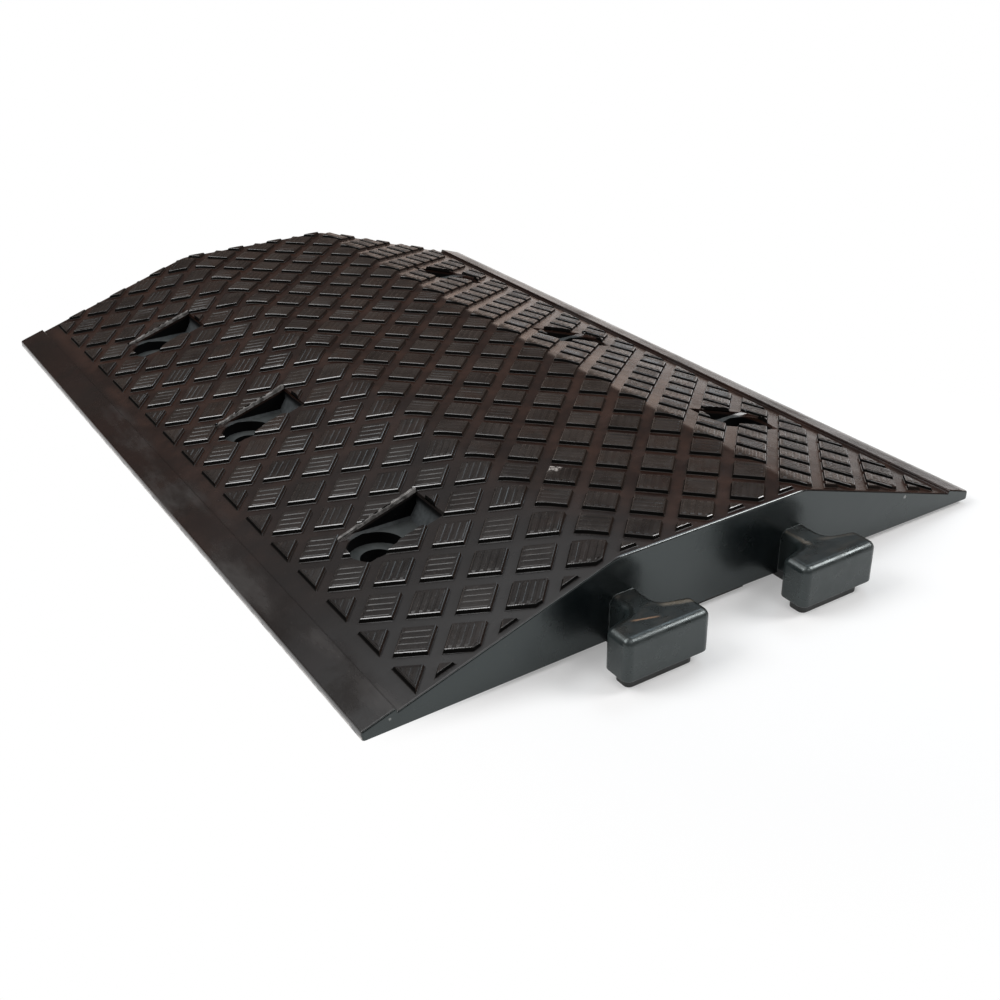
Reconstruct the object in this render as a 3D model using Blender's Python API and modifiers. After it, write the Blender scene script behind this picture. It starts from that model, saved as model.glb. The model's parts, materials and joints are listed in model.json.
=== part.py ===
"""Rubber road ramp that covers cables, with two connector keys and anti-slip sole strips.

Metres, +Z up. X runs across the ramp, the way wheels cross it, and Y along its length. The origin is
on the road under the middle of the ramp, and the end with the keys faces -Y.
"""

import math

import bmesh
import bpy
from mathutils import Matrix, Vector

# Ramp block
RAMP_WIDTH = 0.600
RAMP_LENGTH = 0.870
CROWN_WIDTH = 0.1855
CROWN_HEIGHT = 0.078
EDGE_HEIGHT = 0.0115
NOSING_WIDTH = 0.0267
END_EDGE_RADIUS = 0.003
UNDERSIDE_EDGE_HEIGHT = 0.004
UNDERSIDE_RISE = 0.0035

# Diamond tread: square pads set corner to corner, in rows and columns that alternate
TREAD_DEPTH = 0.003
PAD_PITCH = 0.0516
PAD_DIAGONAL = 0.036
PAD_FOOT_SPREAD = 0.0013
PAD_ROOT = 0.001
PAD_NOSING_GAP = 0.0175
PAD_END_GAP = 0.0055
PAD_ROW_OFFSET = -0.0015
PAD_LEAST_REMNANT = 0.008

# Bolt pockets, in two columns
BOLT_ROWS = 3
BOLT_ROW_SPACING = 0.260
BOLT_COLUMN_SPACING = 0.389
BOLT_HOLE_DIAMETER = 0.026
COUNTERBORE_DIAMETER = 0.052
COUNTERBORE_SEAT_HEIGHT = 0.0245
POCKET_WIDTH = 0.047
POCKET_FLOOR_HEIGHT = 0.033
POCKET_UPHILL_REACH = 0.050
POCKET_WALL_DEPTH = 0.008
POCKET_FACET_RUN = 0.0075

# Connector keys: a head, a stem across the ramp's end and a second head
KEY_SPACING = 0.1684
KEY_REACH = 0.053
KEY_HEAD_WIDTH = 0.076
KEY_HEAD_DEPTH = 0.025
KEY_STEM_WIDTH = 0.0248
KEY_SHOULDER_ANGLE = math.radians(15)
KEY_TOP_HEIGHT = 0.0434
KEY_CORNER_RADIUS = 0.0045
KEY_SHOULDER_RADIUS = 0.004
KEY_NECK_RADIUS = 0.010
KEY_EDGE_RADIUS = 0.003
KEY_CLEARANCE = 0.0005

# Cable channels under the ramp, in line with the keys
CHANNEL_WIDTH = 0.024
CHANNEL_HEIGHT = 0.036

# Soles
SOLE_SIDE_INSET = 0.0065
SOLE_END_INSET = 0.007
SOLE_CLEARANCE = 0.0045
KEY_SOLE_THICKNESS = 0.0082
KEY_SOLE_END_INSET = 0.00805
KEY_SOLE_FACE_INSET = 0.0052
KEY_SOLE_OFFSET = -0.00255
SEAT_GAP = 0.0003

# Facets of round shapes, and how far a cutter runs past what it cuts
ROUND_EDGE_STEPS = 3
CORNER_STEPS = 4
COUNTERBORE_SIDES = 40
BOLT_HOLE_SIDES = 28
CUT_MARGIN = 0.010

HALF_WIDTH = RAMP_WIDTH / 2
HALF_LENGTH = RAMP_LENGTH / 2
HALF_CROWN = CROWN_WIDTH / 2
NOSING_STEP_X = HALF_WIDTH - NOSING_WIDTH
SLOPE = (CROWN_HEIGHT - EDGE_HEIGHT) / (HALF_WIDTH - HALF_CROWN)
KEY_BASE_HEIGHT = KEY_SOLE_THICKNESS + SEAT_GAP
BOLT_X = BOLT_COLUMN_SPACING / 2
KEY_X = KEY_SPACING / 2


def clear_scene():
    for found in list(bpy.data.objects):
        bpy.data.objects.remove(found, do_unlink=True)


def new_collection(name):
    collection = bpy.data.collections.new(name)
    bpy.context.scene.collection.children.link(collection)
    return collection


def rubber(name, colour, roughness):
    """A Principled material for one kind of moulded rubber."""
    material = bpy.data.materials.new(name)
    material.use_nodes = True
    shader = material.node_tree.nodes["Principled BSDF"]
    shader.inputs["Base Color"].default_value = (*colour, 1.0)
    shader.inputs["Roughness"].default_value = roughness
    shader.inputs["Metallic"].default_value = 0.0
    return material


def object_from(bm, name, collection):
    """An object that holds this mesh, with its faces turned outwards."""
    bmesh.ops.recalc_face_normals(bm, faces=bm.faces[:])
    mesh = bpy.data.meshes.new(name)
    bm.to_mesh(mesh)
    bm.free()
    made = bpy.data.objects.new(name, mesh)
    collection.objects.link(made)
    return made


def as_cutter(helper):
    helper.hide_render = True
    helper.display_type = 'WIRE'
    return helper


def add_boolean(target, operand, operation):
    modifier = target.modifiers.new(f"{operation.lower()} {operand.name}", 'BOOLEAN')
    modifier.operation = operation
    modifier.object = operand
    modifier.solver = 'EXACT'


def upright(point, height):
    """A plan point at a height."""
    return Vector((point[0], point[1], height))


def lengthwise(point, station):
    """A point of a cross-section at a station along the ramp."""
    return Vector((point[0], station, point[1]))


def add_prism(bm, outline, place, start, end):
    """Sweeps an outline from start to end, and returns the end face."""
    first = bm.faces.new([bm.verts.new(place(point, start)) for point in outline])
    swept = bmesh.ops.extrude_face_region(bm, geom=[first])["geom"]
    corners = [item for item in swept if isinstance(item, bmesh.types.BMVert)]
    bmesh.ops.translate(bm, verts=corners, vec=place((0, 0), end) - place((0, 0), start))
    return next(item for item in swept if isinstance(item, bmesh.types.BMFace))


def add_cylinder(bm, centre, diameter, sides, bottom, top):
    bmesh.ops.create_cone(
        bm, cap_ends=True, segments=sides, radius1=diameter / 2, radius2=diameter / 2, depth=top - bottom,
        matrix=Matrix.Translation(upright(centre, (bottom + top) / 2)),
    )


def surface_height(x):
    """The height of the nosings and of the pads' tops at a distance from the middle."""
    return min(CROWN_HEIGHT, EDGE_HEIGHT + SLOPE * (HALF_WIDTH - abs(x)))


def deck_height(x):
    """The height of the deck between the pads."""
    return surface_height(x) - TREAD_DEPTH


def underside_height(x):
    """The height of the underside, which rises gently from the long edges to the middle."""
    return UNDERSIDE_EDGE_HEIGHT + UNDERSIDE_RISE * (1 - abs(x) / HALF_WIDTH)


def rounded(corners):
    """An outline from (x, y, radius) corners, each rounded by an arc of its radius."""
    outline = []
    for index, (x, y, radius) in enumerate(corners):
        corner = Vector((x, y))
        before = (Vector(corners[index - 1][:2]) - corner).normalized()
        after = (Vector(corners[(index + 1) % len(corners)][:2]) - corner).normalized()
        half_angle = before.angle(after) / 2
        centre = corner + (before + after).normalized() * radius / math.sin(half_angle)
        start = corner + before * radius / math.tan(half_angle) - centre
        finish = corner + after * radius / math.tan(half_angle) - centre
        sweep = start.angle_signed(finish)
        for step in range(CORNER_STEPS + 1):
            turn = Matrix.Rotation(-sweep * step / CORNER_STEPS, 2)
            outline.append(tuple(centre + turn @ start))
    return outline


def key_outline(end_grow, face_grow, neck_grow):
    """The plan of a key about the ramp's end plane, with its head's ends, its faces and its neck grown."""
    reach = KEY_REACH + face_grow
    back = KEY_REACH - KEY_HEAD_DEPTH - face_grow
    head = KEY_HEAD_WIDTH / 2 + end_grow
    stem = KEY_STEM_WIDTH / 2 + neck_grow
    neck = back - (head - stem) * math.tan(KEY_SHOULDER_ANGLE)
    quarter = [
        (stem, neck, KEY_NECK_RADIUS),
        (head, back, KEY_SHOULDER_RADIUS),
        (head, reach, KEY_CORNER_RADIUS),
    ]
    half = quarter + [(-x, y, radius) for x, y, radius in reversed(quarter)]
    return rounded(half + [(-x, -y, radius) for x, y, radius in half])


def block_profile():
    """The ramp's cross-section under its pads, with the nosings' steps and the underside's ridge."""
    half = [
        (HALF_WIDTH, underside_height(HALF_WIDTH)),
        (HALF_WIDTH, EDGE_HEIGHT),
        (NOSING_STEP_X, surface_height(NOSING_STEP_X)),
        (NOSING_STEP_X, deck_height(NOSING_STEP_X)),
        (HALF_CROWN, deck_height(HALF_CROWN)),
    ]
    return half + [(-x, z) for x, z in reversed(half)] + [(0, underside_height(0))]


def make_block(collection):
    """The block under the tread. Its top edges are rounded at both ends."""
    rounding = []
    for step in range(ROUND_EDGE_STEPS + 1):
        angle = math.pi / 2 * step / ROUND_EDGE_STEPS
        rounding.append((END_EDGE_RADIUS * (1 - math.cos(angle)), END_EDGE_RADIUS * (1 - math.sin(angle))))
    sections = [(inset - HALF_LENGTH, drop) for inset, drop in rounding]
    sections += [(HALF_LENGTH - inset, drop) for inset, drop in reversed(rounding)]

    def section(station, drop):
        lowered = [(x, z - drop if z >= EDGE_HEIGHT else z) for x, z in block_profile()]
        return [lengthwise(point, station) for point in lowered]

    bm = bmesh.new()
    end_face = bm.faces.new([bm.verts.new(point) for point in section(*sections[0])])
    face = end_face
    for station, drop in sections[1:]:
        swept = bmesh.ops.extrude_face_region(bm, geom=[face])["geom"]
        if face is not end_face:
            bmesh.ops.delete(bm, geom=[face], context='FACES_ONLY')
        face = next(item for item in swept if isinstance(item, bmesh.types.BMFace))
        for vert, point in zip(face.verts, section(station, drop)):
            vert.co = point
    return object_from(bm, "ramp_body", collection)


def clip(bm, point, normal):
    """Cuts off what lies past a plane and closes the cut."""
    cut = bmesh.ops.bisect_plane(
        bm, geom=bm.verts[:] + bm.edges[:] + bm.faces[:], plane_co=point, plane_no=normal, clear_outer=True,
    )["geom_cut"]
    bmesh.ops.holes_fill(bm, edges=[item for item in cut if isinstance(item, bmesh.types.BMEdge)])


def make_tread(collection):
    """All the pads: tapered diamonds, trimmed to the field and laid over the crown and the slopes."""
    half_pitch = PAD_PITCH / 2
    half_pad = PAD_DIAGONAL / 2
    field_x = NOSING_STEP_X - PAD_NOSING_GAP
    field_y = HALF_LENGTH - PAD_END_GAP
    columns = math.floor((field_x + half_pad - PAD_LEAST_REMNANT) / half_pitch)
    rows = math.floor((field_y + half_pad - PAD_LEAST_REMNANT) / half_pitch)
    root_spread = PAD_FOOT_SPREAD * (TREAD_DEPTH + PAD_ROOT) / TREAD_DEPTH

    bm = bmesh.new()
    for column in range(-columns, columns + 1):
        for row in range(-rows, rows + 1):
            if (column + row) % 2:
                continue
            centre = (column * half_pitch, row * half_pitch + PAD_ROW_OFFSET)
            bmesh.ops.create_cone(
                bm, cap_ends=True, segments=4, radius1=half_pad + root_spread, radius2=half_pad,
                depth=TREAD_DEPTH + PAD_ROOT,
                matrix=Matrix.Translation(upright(centre, (TREAD_DEPTH - PAD_ROOT) / 2)),
            )
    for side in (-1, 1):
        clip(bm, (side * field_x, 0, 0), (side, 0, 0))
        clip(bm, (0, side * field_y, 0), (0, side, 0))
        bmesh.ops.bisect_plane(
            bm, geom=bm.verts[:] + bm.edges[:] + bm.faces[:],
            plane_co=(side * HALF_CROWN, 0, 0), plane_no=(1, 0, 0),
        )
    for vert in bm.verts:
        vert.co.z += deck_height(vert.co.x)
    return as_cutter(object_from(bm, "tread_pads", collection))


def bolt_places():
    """The six bolt centres, each with the side of the ramp that it is on."""
    for side in (-1, 1):
        for row in range(BOLT_ROWS):
            yield side, (side * BOLT_X, (row - (BOLT_ROWS - 1) / 2) * BOLT_ROW_SPACING)


def make_counterbores(collection):
    bm = bmesh.new()
    for _, centre in bolt_places():
        top = CROWN_HEIGHT + CUT_MARGIN
        add_cylinder(bm, centre, COUNTERBORE_DIAMETER, COUNTERBORE_SIDES, COUNTERBORE_SEAT_HEIGHT, top)
    return as_cutter(object_from(bm, "counterbores", collection))


def make_bolt_holes(collection):
    bm = bmesh.new()
    for _, centre in bolt_places():
        add_cylinder(bm, centre, BOLT_HOLE_DIAMETER, BOLT_HOLE_SIDES, -CUT_MARGIN, CROWN_HEIGHT)
    return as_cutter(object_from(bm, "bolt_holes", collection))


def make_pockets(collection):
    """Level-floored slots that run uphill from the counterbores, with a facet under each back wall."""
    downhill = BOLT_X + COUNTERBORE_DIAMETER / 2
    back = BOLT_X - POCKET_UPHILL_REACH
    facet_top = deck_height(back) - POCKET_WALL_DEPTH
    above = CROWN_HEIGHT + CUT_MARGIN
    profile = [
        (downhill, POCKET_FLOOR_HEIGHT),
        (back + POCKET_FACET_RUN, POCKET_FLOOR_HEIGHT),
        (back, facet_top),
        (back, above),
        (downhill, above),
    ]
    bm = bmesh.new()
    for side, (_, y) in bolt_places():
        outline = [(side * x, z) for x, z in profile]
        add_prism(bm, outline, lengthwise, y - POCKET_WIDTH / 2, y + POCKET_WIDTH / 2)
    return as_cutter(object_from(bm, "pockets", collection))


def make_sockets(collection):
    """Room for a key at each end of both channels, open downwards and through the end face."""
    outline = key_outline(KEY_CLEARANCE, KEY_CLEARANCE, KEY_CLEARANCE)
    bm = bmesh.new()
    for side in (-1, 1):
        for end in (-1, 1):
            placed = [(side * KEY_X + x, end * HALF_LENGTH + y) for x, y in outline]
            add_prism(bm, placed, upright, -CUT_MARGIN, KEY_TOP_HEIGHT + KEY_CLEARANCE)
    return as_cutter(object_from(bm, "key_sockets", collection))


def rectangle(left, right, half_length):
    return [(left, -half_length), (right, -half_length), (right, half_length), (left, half_length)]


def make_channels(collection):
    """A straight cable channel between the two sockets on each side."""
    bm = bmesh.new()
    for side in (-1, 1):
        middle = side * KEY_X
        outline = rectangle(middle - CHANNEL_WIDTH / 2, middle + CHANNEL_WIDTH / 2, HALF_LENGTH + CUT_MARGIN)
        add_prism(bm, outline, upright, -CUT_MARGIN, CHANNEL_HEIGHT)
    return as_cutter(object_from(bm, "cable_channels", collection))


def sole_strips():
    """The left and right edges of each strip, clear of the bolt holes and the sockets."""
    edge = HALF_WIDTH - SOLE_SIDE_INSET
    hole_clear = BOLT_HOLE_DIAMETER / 2 + SOLE_CLEARANCE
    socket_clear = KEY_HEAD_WIDTH / 2 + SOLE_CLEARANCE
    return {
        "sole_outer_left": (-edge, -BOLT_X - hole_clear),
        "sole_inner_left": (hole_clear - BOLT_X, -KEY_X - socket_clear),
        "sole_middle": (socket_clear - KEY_X, KEY_X - socket_clear),
        "sole_inner_right": (KEY_X + socket_clear, BOLT_X - hole_clear),
        "sole_outer_right": (BOLT_X + hole_clear, edge),
    }


def make_sole(name, left, right, collection):
    """One sole strip along the ramp, flat on the road and up to the underside."""
    bends = [x for x in (right, 0, left) if left <= x <= right]
    outline = [(left, 0), (right, 0)] + [(x, underside_height(x) - SEAT_GAP) for x in bends]
    bm = bmesh.new()
    add_prism(bm, outline, lengthwise, SOLE_END_INSET - HALF_LENGTH, HALF_LENGTH - SOLE_END_INSET)
    return object_from(bm, name, collection)


def make_key(name, collection):
    """A key with its top edge rounded, about its own stem's middle."""
    bm = bmesh.new()
    top_face = add_prism(bm, key_outline(0, 0, 0), upright, KEY_BASE_HEIGHT, KEY_TOP_HEIGHT)
    weight = bm.edges.layers.float.new("bevel_weight_edge")
    for edge in top_face.edges:
        edge[weight] = 1.0
    key = object_from(bm, name, collection)
    bevel = key.modifiers.new("rounded top edge", 'BEVEL')
    bevel.limit_method = 'WEIGHT'
    bevel.width = KEY_EDGE_RADIUS
    bevel.segments = ROUND_EDGE_STEPS
    key.data.shade_smooth()
    key.data.set_sharp_from_angle(angle=math.radians(40))
    return key


def make_key_sole(name, collection):
    """A flat foot under a key, set a little to the left of its middle."""
    outline = key_outline(-KEY_SOLE_END_INSET, -KEY_SOLE_FACE_INSET, -KEY_SOLE_FACE_INSET)
    bm = bmesh.new()
    add_prism(bm, [(x + KEY_SOLE_OFFSET, y) for x, y in outline], upright, 0, KEY_SOLE_THICKNESS)
    return object_from(bm, name, collection)


def make_carrier(name, location, collection):
    """An empty that carries the pieces that move together."""
    carrier = bpy.data.objects.new(name, None)
    carrier.location = location
    collection.objects.link(carrier)
    return carrier


def build():
    clear_scene()
    parts = new_collection("cable_protector_ramp")
    cutters = new_collection("cutters")
    tread_rubber = rubber("black tread rubber", (0.020, 0.016, 0.014), 0.42)
    key_rubber = rubber("grey-black key rubber", (0.028, 0.031, 0.033), 0.48)
    sole_rubber = rubber("brown-black sole rubber", (0.024, 0.018, 0.015), 0.75)

    tread = make_tread(cutters)
    counterbores = make_counterbores(cutters)
    bolt_holes = make_bolt_holes(cutters)
    pockets = make_pockets(cutters)
    sockets = make_sockets(cutters)
    channels = make_channels(cutters)

    ramp_carrier = make_carrier("ramp_lift", (0, 0, 0), parts)
    ramp = make_block(parts)
    ramp.parent = ramp_carrier
    ramp.data.materials.append(tread_rubber)
    add_boolean(ramp, tread, 'UNION')
    for cutter in (pockets, counterbores, bolt_holes, channels, sockets):
        add_boolean(ramp, cutter, 'DIFFERENCE')

    for name, (left, right) in sole_strips().items():
        sole = make_sole(name, left, right, parts)
        sole.parent = ramp_carrier
        sole.data.materials.append(sole_rubber)

    for side, word in ((-1, "left"), (1, "right")):
        place = (side * KEY_X, -HALF_LENGTH, 0)
        carrier = make_carrier(f"key_place_{word}", place, parts)
        key = make_key(f"connector_key_{word}", parts)
        key.data.materials.append(key_rubber)
        key_sole = make_key_sole(f"key_sole_{word}", parts)
        key_sole.data.materials.append(sole_rubber)
        for piece in (key, key_sole):
            piece.parent = carrier


build()
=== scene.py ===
"""Looks for the rubber road ramp: a finer block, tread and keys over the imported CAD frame.

Metres, +Z up, in the frame of the CAD model: X across the ramp, Y along it, and the keys at the -Y end.
"""

import json
import math
import random

import bmesh
import bpy
from mathutils import Matrix, Vector


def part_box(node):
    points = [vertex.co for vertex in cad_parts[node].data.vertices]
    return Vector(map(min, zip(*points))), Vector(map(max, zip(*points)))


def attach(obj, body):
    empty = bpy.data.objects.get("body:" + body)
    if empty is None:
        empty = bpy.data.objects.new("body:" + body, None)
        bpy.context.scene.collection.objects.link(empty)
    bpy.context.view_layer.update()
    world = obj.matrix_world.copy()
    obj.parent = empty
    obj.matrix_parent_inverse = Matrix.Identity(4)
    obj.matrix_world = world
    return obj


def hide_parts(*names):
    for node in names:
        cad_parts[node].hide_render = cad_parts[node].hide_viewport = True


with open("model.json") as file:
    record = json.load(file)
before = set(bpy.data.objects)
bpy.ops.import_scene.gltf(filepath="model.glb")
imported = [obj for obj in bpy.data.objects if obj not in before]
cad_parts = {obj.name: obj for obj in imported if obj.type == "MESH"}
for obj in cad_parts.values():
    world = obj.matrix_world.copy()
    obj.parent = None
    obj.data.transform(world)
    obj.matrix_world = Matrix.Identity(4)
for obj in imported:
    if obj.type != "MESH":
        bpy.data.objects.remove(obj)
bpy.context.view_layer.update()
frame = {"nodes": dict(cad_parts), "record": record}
scene = bpy.context.scene

# Sizes that the frame gives
body_low, body_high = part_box("ramp_body")
key_low, key_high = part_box("connector_key_left")
sole_low, sole_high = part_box("sole_middle")
openings = {entry["name"]: entry["box_m"] for entry in frame["record"]["physics"]["openings"]}
SEAT_GAP = 0.0003
HALF_WIDTH = body_high.x
HALF_LENGTH = body_high.y
CROWN_HEIGHT = body_high.z
BASE_HEIGHT = body_low.z
RIDGE_HEIGHT = sole_high.z + SEAT_GAP
KEY_X = abs(key_low.x + key_high.x) / 2
KEY_REACH = -HALF_LENGTH - key_low.y
KEY_HEAD_WIDTH = key_high.x - key_low.x
KEY_BASE_HEIGHT = key_low.z
KEY_TOP_HEIGHT = key_high.z
BOLT_CENTRES = [
    ((low[0] + high[0]) / 2, (low[1] + high[1]) / 2)
    for name, (low, high) in openings.items() if name.startswith("bolt_hole")
]
BOLT_X = max(x for x, _ in BOLT_CENTRES)

# Ramp block
HALF_CROWN = 0.09275
EDGE_HEIGHT = 0.0115
NOSING_WIDTH = 0.0267
CROWN_BEND_RADIUS = 0.040
LIP_RADIUS = 0.0022
STEP_RADIUS = 0.0010
FOOT_RADIUS = 0.0012
RIDGE_RADIUS = 0.050
END_ROUNDING = 0.0017
CORNER_ZONE = 0.0080
END_STEPS = 6
FILLET_STEPS = 5
RIM_BEVEL = 0.0006
BEVEL_SEGMENTS = 2
FACE_WEIGHT = 100

# Tread
TREAD_DEPTH = 0.0033
PAD_PITCH = 0.0516
PAD_DIAGONAL = 0.036
PAD_NOSING_GAP = 0.0175
PAD_END_GAP = 0.0055
PAD_LEAST_CUT = 0.0010
PAD_ROW_OFFSET = -0.0015
PAD_LEAST_REMNANT = 0.008
PAD_RINGS = ((-0.0010, 0.0016), (0.0, 0.00095), (0.00016, 0.00060), (0.00045, 0.00030),
             (0.00272, -0.00032), (0.0030, -0.00052), (TREAD_DEPTH, -0.0010))
PAD_SHARP_ANGLE = math.radians(23)
PAD_BEVEL = 0.0004
PAD_BEVEL_ANGLE = math.radians(60)
RIB_COUNT = 4
RIB_SPACING = 0.0058
RIB_LENGTH = 0.0222
RIB_END_TAPER = 0.0016
RIB_SECTION = ((-0.0021, -0.0004), (-0.0019, 0.0), (-0.0013, 0.0006), (0.0013, 0.0006), (0.0019, 0.0),
               (0.0021, -0.0004))
RIB_SHARP_ANGLE = math.radians(8)
RIB_FIELD_INSET = 0.0022
CROWN_RIB_LEAST = 0.15
SLOPE_RIB_LEAST = 0.42
RIB_WEAR_POWER = 1.5
RIB_SEED = 7
MERGE_DISTANCE = 1e-6

# Bolt pockets
COUNTERBORE_RADIUS = 0.0238
BOLT_HOLE_RADIUS = 0.0135
BORE_SHIFT = (0.0015, -0.0020)
COUNTERBORE_SEAT_HEIGHT = 0.0245
POCKET_WIDTH = 0.047
POCKET_FLOOR_HEIGHT = 0.0345
POCKET_FLOOR_FILLET = 0.0022
POCKET_UPHILL_REACH = 0.050
POCKET_WALL_DEPTH = 0.0112
POCKET_FACET_RUN = 0.0075
ROUND_SIDES = 96
BEAD_SECTION = ((-0.0005, -0.0010), (-0.0005, 0.0029), (0.0002, 0.0039), (0.0018, 0.0037),
                (0.0030, -0.0010))
BEAD_RUN_OUT = 0.011
BEAD_STEPS = 34
BEAD_LEAST_HEIGHT = 0.6
BEAD_FADE_POWER = 4
BEAD_SEED = 11

# Keys, sockets and cable channels
KEY_HEAD_DEPTH = 0.025
KEY_STEM_WIDTH = 0.0248
KEY_SHOULDER_ANGLE = math.radians(15)
KEY_CORNER_RADIUS = 0.0065
KEY_SHOULDER_RADIUS = 0.0055
KEY_NECK_RADIUS = 0.010
KEY_LEAST_RADIUS = 0.0006
KEY_EDGE_RADIUS = 0.0062
KEY_FOOT_RADIUS = 0.0012
KEY_CLEARANCE = 0.00015
KEY_CORNER_STEPS = 8
KEY_EDGE_STEPS = 6
CHANNEL_WIDTH = 0.024
CHANNEL_HEIGHT = 0.036
FLASH_SECTION = ((0.0001, 0.0004), (0.0001, -0.0005), (0.0006, -0.0003), (0.0012, 0.0004))
FLASH_STEP = 0.0022
FLASH_LEAST = 0.35
FLASH_SEED = 5

CUT_MARGIN = 0.010
SHARP_ANGLE = math.radians(38)
SLOPE = (CROWN_HEIGHT - EDGE_HEIGHT) / (HALF_WIDTH - HALF_CROWN)
SLOPE_ANGLE = math.atan(SLOPE)
BEND_START = HALF_CROWN - CROWN_BEND_RADIUS * math.tan(SLOPE_ANGLE / 2)
BEND_END = BEND_START + CROWN_BEND_RADIUS * math.sin(SLOPE_ANGLE)
NOSING_STEP_X = HALF_WIDTH - NOSING_WIDTH
FIELD_HALF_WIDTH = NOSING_STEP_X - PAD_NOSING_GAP
FIELD_HALF_LENGTH = HALF_LENGTH - PAD_END_GAP

# Zones of the rubber: where each starts and where it is full
GREY_ALONG = (0.10, -0.36)
GREY_ACROSS = (0.02, -0.16)
DUST_ALONG = (-0.27, -0.43)
BROWN_ALONG = (-0.25, 0.1)
WIPE_ALONG = (0.30, 0.08)
NOSING_ACROSS = (NOSING_STEP_X - 0.012, NOSING_STEP_X + 0.002)
LIP_ACROSS = (HALF_WIDTH - 0.0016, HALF_WIDTH - 0.0006)
LIP_UP = (0.0085, 0.0055)
# Where the right lip's rubbing and painted sheen start and are full
RUB_AND_SHEEN_ACROSS = (HALF_WIDTH - 0.0100, HALF_WIDTH - 0.0015)
END_ALONG = (HALF_LENGTH - 0.008, HALF_LENGTH - 0.003)
RIM_ALONG = (HALF_LENGTH - 0.0023, HALF_LENGTH - 0.0014)
RIM_ACROSS = (HALF_CROWN + 0.006, HALF_CROWN - 0.004)
POCKETS_ACROSS = (0.262, 0.250)
POCKETS_ALONG = (0.330, 0.320)
POCKETS_DEPTH = (-0.0020, -0.0045)
# Where the painted glints on the right slope's pads start and are full
RIGHT_GLINT_ACROSS = (0.100, 0.125)
RIGHT_SHINE_ACROSS = (0.095, 0.120)
PAD_EDGE_RISE = (0.0012, 0.0022)
PAD_FOOT_RISE = (0.0012, 0.0006)

# Rubber colours, as linear red, green and blue
DECK_DARK = (0.0125, 0.0058, 0.0043)
DECK_LIGHT = (0.0370, 0.0182, 0.0130)
DECK_GREY = (0.0160, 0.0154, 0.0153)
DECK_DUST = (0.0410, 0.0408, 0.0412)
DECK_SPECK = (0.10, 0.09, 0.082)
NOSING_BROWN = (0.0150, 0.0070, 0.0052)
NOSING_SMUDGE = (0.0085, 0.0058, 0.0048)
NOSING_WIPE = (0.052, 0.048, 0.046)
# Pale low outer face of each lip: wear plus a painted reflection of the white floor
LIP_WEAR_AND_REFLECTION = (0.55, 0.53, 0.51)
# Right lip's outer edge: rubbing plus a painted sheen
LIP_RUB_AND_SHEEN = (0.62, 0.59, 0.57)
END_DARK = (0.0018, 0.0030, 0.0036)
END_LIGHT = (0.0056, 0.0076, 0.0086)
END_NICK = (0.30, 0.30, 0.29)
END_TINT = (0.88, 1.0, 1.0)
# Bolt pockets: walls painted near black as shade; the facet and floor paler, from dust and painted light
POCKET_WALL_SHADE = (0.0020, 0.0022, 0.0024)
POCKET_FACET_DUST_AND_LIGHT = (0.075, 0.083, 0.087)
POCKET_FLOOR_DARK = (0.032, 0.036, 0.036)
POCKET_FLOOR_LIGHT = (0.074, 0.079, 0.079)
PAD_DARK = (0.0105, 0.0068, 0.0054)
PAD_LIGHT = (0.0355, 0.0278, 0.0236)
PAD_SOIL = (0.0300, 0.0165, 0.0118)
PAD_GREY_DARK = (0.0115, 0.0110, 0.0110)
PAD_GREY_LIGHT = (0.0300, 0.0294, 0.0296)
PAD_DUST = (0.090, 0.076, 0.067)
# Painted glints on the pads of the right slope
PAD_PAINTED_GLINT = (0.30, 0.27, 0.25)
PAD_CHIP = (0.36, 0.33, 0.31)
# Pad walls: painted shade where they face left and front, painted light where they face right
PAD_WALL_SHADE = (0.0060, 0.0058, 0.0056)
PAD_WALL_LIT = (0.0260, 0.0185, 0.0155)
# Pale bead colours: scuffs plus a painted highlight along the pockets' far edges
BEAD_DARK = (0.070, 0.066, 0.062)
BEAD_LIGHT = (0.300, 0.290, 0.280)
KEY_DARK = (0.0110, 0.0155, 0.0162)
KEY_LIGHT = (0.0220, 0.0290, 0.0298)
# Painted shade: the keys' tops darker than their sides
KEY_TOP_SHADE = (0.0070, 0.0074, 0.0070)
KEY_DUST = (0.045, 0.036, 0.028)
KEY_TINT = (0.92, 1, 1, 1)
FOOT_DARK = (0.0110, 0.0136, 0.0140)
FOOT_LIGHT = (0.0200, 0.0240, 0.0245)
# Painted shade on the key feet near the floor
FOOT_LOW_SHADE = (0.0080, 0.0068, 0.0060)
SOLE_DARK = (0.014, 0.0120, 0.0105)
SOLE_LIGHT = (0.028, 0.0235, 0.0200)

# Marks: pale nicks in the near end face (x, z, radius), a chip in a pad of the crown, and scuffs on top of
# the keys (middle, half length, half width, degrees, colour)
END_NICKS = ((-0.2785, 0.0136, 0.0014), (0.215, 0.031, 0.0022))
CHIP_CENTRE = (-0.0513, -0.2966, CROWN_HEIGHT)
CHIP_RADIUS = 0.010
KEY_SCUFFS = (
    ((-0.0930, -0.4706), 0.0125, 0.0016, -17, (0.25, 0.150, 0.090)),
    ((-0.0610, -0.4670), 0.0160, 0.0040, -20, (0.15, 0.128, 0.100)),
    ((-0.0960, -0.4400), 0.0100, 0.0030, 35, (0.07, 0.062, 0.055)),
    ((0.0750, -0.4480), 0.0170, 0.0036, 95, (0.13, 0.112, 0.092)),
    ((0.0700, -0.4400), 0.0120, 0.0022, 40, (0.15, 0.132, 0.110)),
    ((0.1020, -0.4640), 0.0200, 0.0040, -15, (0.06, 0.052, 0.044)),
)

# Stage
CAMERA_LOCATION = (-0.5673, -1.0303, 0.5302)
CAMERA_TURN = (32.41, 28.26, -0.97)
CAMERA_LENS = 44.77
CAMERA_SENSOR = 36
CAMERA_NEAREST = 0.05
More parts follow.
